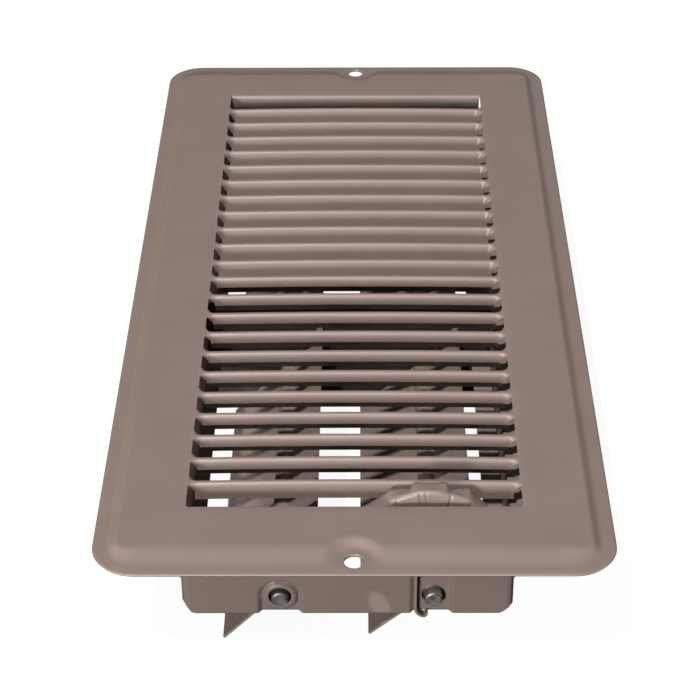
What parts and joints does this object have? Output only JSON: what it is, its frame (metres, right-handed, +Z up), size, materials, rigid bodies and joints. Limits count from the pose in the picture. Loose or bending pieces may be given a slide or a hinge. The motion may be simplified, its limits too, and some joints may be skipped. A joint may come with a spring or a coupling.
{
  "type": "dampered floor register",
  "caption": "Pressed-steel floor register: two-way louvred face plate over a damper box with two coupled blade shafts turned by a scalloped thumb wheel.",
  "frame": {"origin": "centre of the flange's seating plane, midway between the two screw holes", "axes": "+Z up out of the floor, +Y along the louvred face away from the thumb wheel, +X to the right seen from the thumb wheel's end"},
  "size_m": [0.1396, 0.2922, 0.0508],
  "materials": {
    "face_paint": "semi-gloss taupe baked enamel",
    "box_paint": "satin taupe baked enamel, thinner coat",
    "dark_paint": "thin matt dark brown paint",
    "bare_steel": "drawn steel rod, sheared ends",
    "zinc_plate": "dull zinc plate"
  },
  "bodies": {
    "frame": {"brace_rivets": "zinc_plate", "centre_brace": "dark_paint", "corner_rivets": "zinc_plate", "face_plate": "face_paint", "friction_spring": "box_paint", "front_end_plate": "box_paint", "left_side_rail": "box_paint", "rear_end_plate": "box_paint", "right_side_rail": "box_paint"},
    "left_blades": {"left_crank": "zinc_plate", "left_crank_pin": "zinc_plate", "left_front_blade": "box_paint", "left_front_clip": "zinc_plate", "left_pivot_rod": "bare_steel", "left_rear_blade": "box_paint", "left_rear_clip": "zinc_plate"},
    "link": {"link_bar": "zinc_plate"},
    "right_blades": {"right_crank": "zinc_plate", "right_crank_pin": "zinc_plate", "right_front_blade": "box_paint", "right_front_clip": "zinc_plate", "right_pivot_rod": "bare_steel", "right_rear_blade": "box_paint", "right_rear_clip": "zinc_plate", "thumb_wheel": "face_paint", "wheel_hub": "bare_steel"}
  },
  "joints": [
    {"name": "right_shaft_turn", "type": "hinge", "parent": "frame", "child": "right_blades", "pos_m": [0.0219, 0, -0.0258], "axis": [0, 1, 0], "range_deg": [-40, 40]},
    {"name": "left_shaft_turn", "type": "hinge", "parent": "frame", "child": "left_blades", "pos_m": [-0.0207, 0, -0.0258], "axis": [0, 1, 0], "range_deg": [-40, 40]},
    {"name": "link_pivot", "type": "hinge", "parent": "right_blades", "child": "link", "pos_m": [0.0219, 0.1194, -0.0158], "axis": [0, 1, 0], "range_deg": [-40, 40]}
  ],
  "couplings": [
    {"joint": "left_shaft_turn", "follows": "right_shaft_turn", "ratio": 1},
    {"joint": "link_pivot", "follows": "right_shaft_turn", "ratio": -1}
  ]
}
